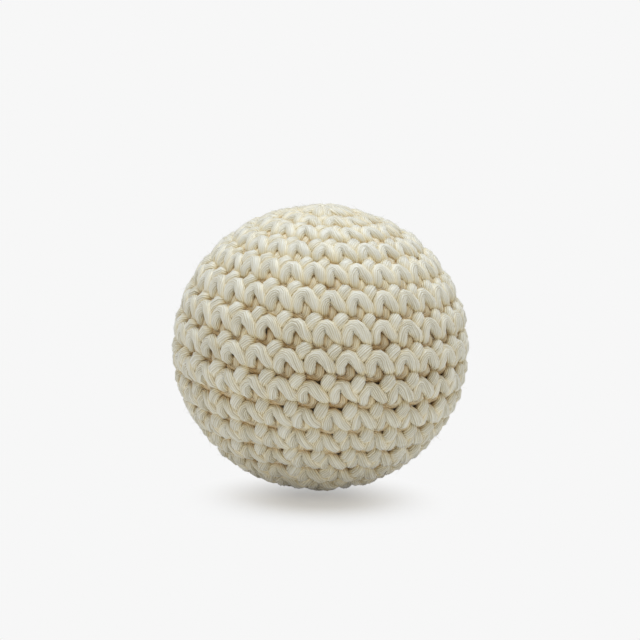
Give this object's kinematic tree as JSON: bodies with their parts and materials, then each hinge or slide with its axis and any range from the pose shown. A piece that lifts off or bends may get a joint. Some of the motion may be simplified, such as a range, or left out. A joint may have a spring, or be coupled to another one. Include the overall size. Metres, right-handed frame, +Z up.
{
  "type": "crocheted ball",
  "caption": "Soft stuffed play ball of cream cotton yarn, single crochet in one spiral of rounds from a magic ring to a gathered close, resting on a small flat.",
  "frame": {"origin": "middle of the ball's flattened underside, on the surface it rests on", "axes": "+Z up along the ball's axis, from the gathered close underneath to the magic ring on top; -Y towards the front, +X to the right; the jog between the turns is at the back, +Y"},
  "size_m": [0.0509, 0.0509, 0.0492],
  "materials": {
    "cotton_yarn": "twisted, lightly mercerised cotton yarn in natural cream, worked in single crochet",
    "fibre_fill": "loose white polyester fibre"
  },
  "bodies": {
    "root": {"round_01": "cotton_yarn", "round_02": "cotton_yarn", "round_03": "cotton_yarn", "round_04": "cotton_yarn", "round_05": "cotton_yarn", "round_06": "cotton_yarn", "round_07": "cotton_yarn", "round_08": "cotton_yarn", "round_09": "cotton_yarn", "round_10": "cotton_yarn", "round_11": "cotton_yarn", "round_12": "cotton_yarn", "round_13": "cotton_yarn", "round_14": "cotton_yarn", "round_15": "cotton_yarn", "closing_gather": "cotton_yarn", "magic_ring": "cotton_yarn", "start_tail": "cotton_yarn", "closing_tail": "cotton_yarn", "fibre_filling": "fibre_fill"}
  },
  "joints": []
}
